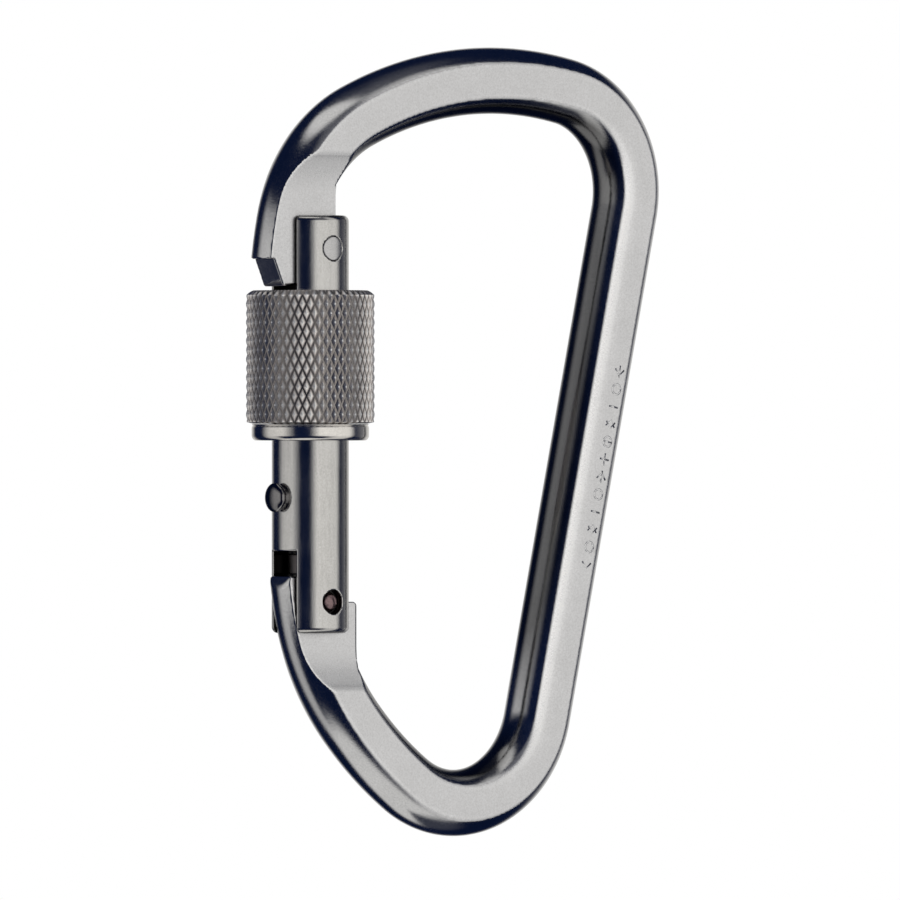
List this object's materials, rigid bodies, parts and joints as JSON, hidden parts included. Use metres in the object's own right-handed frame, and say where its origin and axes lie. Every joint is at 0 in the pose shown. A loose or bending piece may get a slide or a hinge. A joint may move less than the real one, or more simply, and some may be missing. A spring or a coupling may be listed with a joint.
{
  "type": "locking carabiner",
  "caption": "Pear-shaped steel ring with a sprung pin-latch gate and a knurled screw sleeve that locks it, for joining ropes, slings and anchors.",
  "frame": {"origin": "middle of the whole object at rest, gate shut and sleeve up", "axes": "+Z along the length towards the wide end, +X across from the gate to the spine, +Y through the thickness"},
  "size_m": [0.0723, 0.0186, 0.1141],
  "materials": {
    "forged_steel": "satin on the pressed flats, polished on the rounds",
    "gate_steel": "fine tumbled satin",
    "pin_steel": "ground flush",
    "rivet_steel": "peened, slightly browned",
    "spring_steel": "drawn wire",
    "sleeve_steel": "diamond knurl, warm grey",
    "collar_steel": "turned, satin"
  },
  "bodies": {
    "frame": {"frame": "forged_steel"},
    "gate": {"gate_bar": "gate_steel", "hinge_rivet": "rivet_steel", "latch_pin": "pin_steel", "stop_pin": "pin_steel", "gate_spring": "spring_steel"},
    "plunger": {"spring_plunger": "spring_steel"},
    "collar": {"sleeve_collar": "collar_steel"},
    "sleeve": {"lock_sleeve": "sleeve_steel"}
  },
  "joints": [
    {"name": "gate_swing", "type": "hinge", "parent": "frame", "child": "gate", "pos_m": [-0.0267, 0, -0.023], "axis": [0, 1, 0], "range_deg": [0, 28], "stiffness_Nm_per_rad": 0.4, "springref_deg": -22.92},
    {"name": "plunger_slide", "type": "slide", "parent": "gate", "child": "plunger", "axis": [0, 0, 1], "range_m": [0, 0.0013], "deforming": ["gate_spring"]},
    {"name": "sleeve_slide", "type": "slide", "parent": "gate", "child": "collar", "axis": [0, 0, -1], "range_m": [0, 0.006]},
    {"name": "sleeve_turn", "type": "hinge", "parent": "collar", "child": "sleeve", "pos_m": [-0.0267, 0, 0.0122], "axis": [0, 0, -1], "range_deg": [0, 1442]}
  ],
  "couplings": [
    {"joint": "plunger_slide", "follows": "gate_swing", "m_per_rad": 0.0025},
    {"joint": "sleeve_turn", "follows": "sleeve_slide", "rad_per_m": 4188.8}
  ]
}
